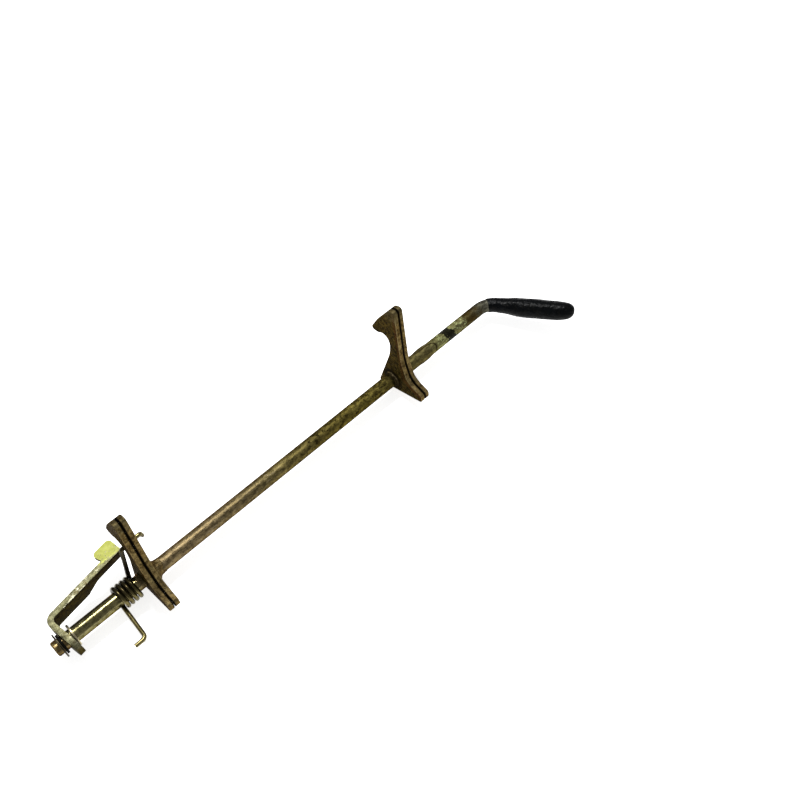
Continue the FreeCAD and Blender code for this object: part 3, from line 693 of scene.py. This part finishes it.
def weld_bead(name, node, x, length, radius, lump_mm, size_mm):
    """A fillet from the plate's face at x, thick at the plate and fading along x."""
    buried = ROD_RADIUS - 0.6
    toe = ROD_RADIUS + (radius - ROD_RADIUS) * 0.42
    ring_steps = [  # share of the length, radius
        (0.0, buried), (0.0, radius), (0.16, radius * 0.95), (0.40, toe),
        (0.75, ROD_RADIUS + 0.35), (1.0, ROD_RADIUS + 0.05), (1.0, buried),
    ]
    deselect()
    bpy.ops.mesh.primitive_circle_add(
        vertices=64, radius=ring_steps[0][1] * MM, location=at(x, 0, 0), rotation=(0, math.radians(90), 0))
    bead = bpy.context.object
    bead.name = name
    activate(bead)
    bpy.ops.object.transform_apply(location=True, rotation=True, scale=True)
    bpy.ops.object.mode_set(mode="EDIT")
    bpy.ops.mesh.select_all(action="SELECT")
    for (share, size), (next_share, next_size) in zip(ring_steps, ring_steps[1:]):
        stride = (next_share - share) * length * MM
        bpy.ops.mesh.extrude_region_move(TRANSFORM_OT_translate={"value": (stride, 0, 0)})
        centre = at(x + next_share * length, 0, 0)
        bpy.ops.transform.resize(value=(1, next_size / size, next_size / size), center_override=centre)
    bpy.ops.mesh.select_all(action="SELECT")
    bpy.ops.mesh.subdivide(number_cuts=2)
    bpy.ops.mesh.normals_make_consistent(inside=False)
    bpy.ops.object.mode_set(mode="OBJECT")
    clouds = bpy.data.textures.new(name + "_clouds", "CLOUDS")
    clouds.noise_scale = size_mm * MM
    lumps = bead.modifiers.new("lumps", "DISPLACE")
    lumps.texture = clouds
    lumps.texture_coords = "GLOBAL"
    lumps.strength = lump_mm * MM
    lumps.mid_level = 0.6
    bpy.ops.object.modifier_apply(modifier=lumps.name)
    bpy.ops.object.shade_smooth()
    bead.data.materials.append(WELD_PLATING)
    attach(bead, "shaft")
    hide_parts(node)
    print(name, len(bead.data.polygons), "faces")


weld_bead("left_weld_bead", "left_hook_weld", HOOK_WIDTH, 5.8, 6.7, 1.3, 3.0)
weld_bead("right_weld_bead", "right_hook_weld", HOOK_SPACING, -1.8, 5.2, 0.6, 1.8)

# %% [markdown]
# ## The dipped grip
# The grip is a skin that dripped before it set: a thin mouth on the bend, a
# slight neck, a full body that sags below the lever and a rounded end. Circles
# of different radius stand across the bend and the lever, those on the lever
# sag below it, and they are bridged into one skin.

# %% Where the lever runs
BEND_START, BEND_RADIUS = 246.0, 11.0
LEVER_TURN, LEVER_RISE = math.radians(58.0), math.radians(8.0)
level = math.cos(LEVER_RISE)
heading = Vector((level * math.cos(LEVER_TURN), -level * math.sin(LEVER_TURN), math.sin(LEVER_RISE)))
inward = (heading - Vector((heading.x, 0, 0))).normalized()
bend_centre = Vector((BEND_START, 0, 0)) + inward * BEND_RADIUS
bend_axis = Vector((1, 0, 0)).cross(heading).normalized()
bend_angle = Vector((1, 0, 0)).angle(heading)
round_bend = Matrix.Rotation(bend_angle, 3, bend_axis)
bend_end = bend_centre + round_bend @ (Vector((BEND_START, 0, 0)) - bend_centre)
downward = (Vector((0, 0, -1)) + heading * heading.z).normalized()
print("bend ends at", [round(value, 2) for value in bend_end])

# %% The grip
MOUTH_SHARE = 0.44   # of the bend, covered by the mouth
LIP_RADIUS, MOUTH_RADIUS = 4.15, 4.52
LEVER_RINGS = [  # along the lever, radius, sag below it
    (0.0, 4.60, 0.0), (2.5, 4.72, 0.0), (5.0, 4.86, 0.1), (7.6, 5.0, 0.15), (9.6, 5.35, 0.3),
    (13.0, 5.75, 0.55), (18.0, 5.95, 0.75), (24.0, 6.0, 0.8), (31.0, 5.98, 0.8), (38.0, 5.88, 0.8),
    (42.0, 5.45, 0.65), (44.8, 4.6, 0.45), (46.6, 3.1, 0.2), (47.3, 1.3, 0.05),
]
RING_POINTS = 48


def ring_places():
    """Middle, heading and radius of each ring, from the mouth to the tip."""
    places = []
    for share in (1.0, 0.97, 0.7, 0.35):
        spin = Matrix.Rotation(-bend_angle * MOUTH_SHARE * share, 3, bend_axis)
        radius = LIP_RADIUS if share == 1.0 else MOUTH_RADIUS
        places.append((bend_centre + spin @ (bend_end - bend_centre), spin @ heading, radius))
    for along, radius, sag in LEVER_RINGS:
        places.append((bend_end + heading * along + downward * sag, heading, radius))
    return places


def dipped_grip():
    deselect()
    made = []
    for middle, facing, radius in ring_places():
        turn = Vector((0, 0, 1)).rotation_difference(facing).to_euler()
        bpy.ops.mesh.primitive_circle_add(
            vertices=RING_POINTS, radius=radius * MM, location=at(*middle), rotation=turn)
        made.append(bpy.context.object)
    deselect()
    for ring in made:
        ring.select_set(True)
    bpy.context.view_layer.objects.active = made[0]
    bpy.ops.object.join()
    grip = bpy.context.object
    grip.name = "dipped_grip"
    bpy.ops.object.transform_apply(location=True, rotation=True, scale=True)
    bpy.ops.object.mode_set(mode="EDIT")
    bpy.ops.mesh.select_all(action="SELECT")
    bpy.ops.mesh.bridge_edge_loops()
    bpy.ops.object.mode_set(mode="OBJECT")
    return grip


grip = dipped_grip()
print("grip", len(grip.data.vertices), "points", len(grip.data.polygons), "faces")

# %% [markdown]
# The bridged skin is open at the mouth and at the tip. The tip's small ring is
# filled. The mouth's first ring is narrower than the next, which gives a lip.

# %% Fill the tip
tip = bend_end + heading * LEVER_RINGS[-1][0]
activate(grip)
bpy.ops.object.mode_set(mode="EDIT")
bpy.ops.mesh.select_all(action="DESELECT")
bpy.ops.object.mode_set(mode="OBJECT")
for vertex in grip.data.vertices:
    vertex.select = (vertex.co - at(*tip)).length < 1.5 * MM
bpy.context.tool_settings.mesh_select_mode = (True, False, False)
bpy.ops.object.mode_set(mode="EDIT")
bpy.ops.mesh.edge_face_add()
bpy.ops.mesh.inset(thickness=0.5 * MM)
bpy.ops.mesh.merge(type="CENTER")
bpy.ops.object.mode_set(mode="OBJECT")

# %% Close and smooth the grip
whole_skin_select(grip)
bpy.ops.mesh.remove_doubles(threshold=1e-6)
bpy.ops.mesh.normals_make_consistent(inside=False)
bpy.ops.object.mode_set(mode="OBJECT")
smooth = grip.modifiers.new("smooth", "SUBSURF")
smooth.levels = smooth.render_levels = 2
clouds = bpy.data.textures.new("grip_clouds", "CLOUDS")
clouds.noise_scale = 7.0 * MM
drip = grip.modifiers.new("drip", "DISPLACE")
drip.texture = clouds
drip.texture_coords = "GLOBAL"
drip.strength = 0.5 * MM
drip.mid_level = 0.75
activate(grip)
for modifier in (smooth, drip):
    bpy.ops.object.modifier_apply(modifier=modifier.name)
bpy.ops.object.shade_smooth()
grip.data.materials.append(DIPPED_VINYL)
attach(grip, "shaft")
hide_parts("vinyl_grip")
print("grip", len(grip.data.polygons), "faces")

# %% [markdown]
# ## Floor, light and camera
# The part lies on a white floor under one soft round light, overhead and towards
# the tab's side, so the shadow falls on the other side. The floor gives off its
# own light, which keeps it white and the shadow faint.

# %% Floor
FLOOR_SIZE = 20.0
FLOOR_DROP = 0.0002
FLOOR_GLOW = 0.76
deselect()
bpy.ops.mesh.primitive_plane_add(size=FLOOR_SIZE, location=(0, 0, -FLOOR_DROP))
floor = bpy.context.object
floor.name = "floor"
white = bpy.data.materials.new("floor_white")
white.use_nodes = True
paper = white.node_tree.nodes["Principled BSDF"]
paper.inputs["Base Color"].default_value = (0.80, 0.80, 0.80, 1)
paper.inputs["Roughness"].default_value = 0.9
paper.inputs["Emission Color"].default_value = (1, 1, 1, 1)
paper.inputs["Emission Strength"].default_value = FLOOR_GLOW
floor.data.materials.append(white)

# %% Lights
KEY_OFFSET = Vector((0.08, 0.32, 1.14))   # metres from the rod's middle
KEY_SIZE, KEY_WATTS = 0.24, 17
WORLD_STRENGTH = 0.42


def soft_light(name, place, target, size, watts):
    deselect()
    bpy.ops.object.light_add(type="AREA", location=place)
    light = bpy.context.object
    light.name = name
    light.data.shape = "DISK"
    light.data.size = size
    light.data.energy = watts
    light.rotation_euler = (Vector(target) - Vector(place)).to_track_quat("-Z", "Y").to_euler()


bpy.context.scene.view_settings.view_transform = "Standard"
middle = at(90, 0, 0)
soft_light("key_light", middle + KEY_OFFSET, middle, KEY_SIZE, KEY_WATTS)
world = bpy.data.worlds.new("studio")
bpy.context.scene.world = world
world.use_nodes = True
world.node_tree.nodes["Background"].inputs["Color"].default_value = (1, 1, 1, 1)
world.node_tree.nodes["Background"].inputs["Strength"].default_value = WORLD_STRENGTH

# %% Camera
right = Vector((0.7053, -0.7090, 0.0)).normalized()
forward = Vector((0.4091, 0.4065, -0.8171)).normalized()
up = right.cross(forward)
lens = bpy.data.cameras.new("camera")
lens.sensor_width = 36.0
lens.lens = 41.3
camera = bpy.data.objects.new("camera", lens)
bpy.context.collection.objects.link(camera)
LENS_PLACE = (-43.7, -221.8, 418.7)
axes = Matrix((right, up, -forward)).transposed().to_4x4()
camera.matrix_world = Matrix.Translation(at(*LENS_PLACE)) @ axes
bpy.context.scene.camera = camera
print("camera at", [round(value, 3) for value in camera.location])
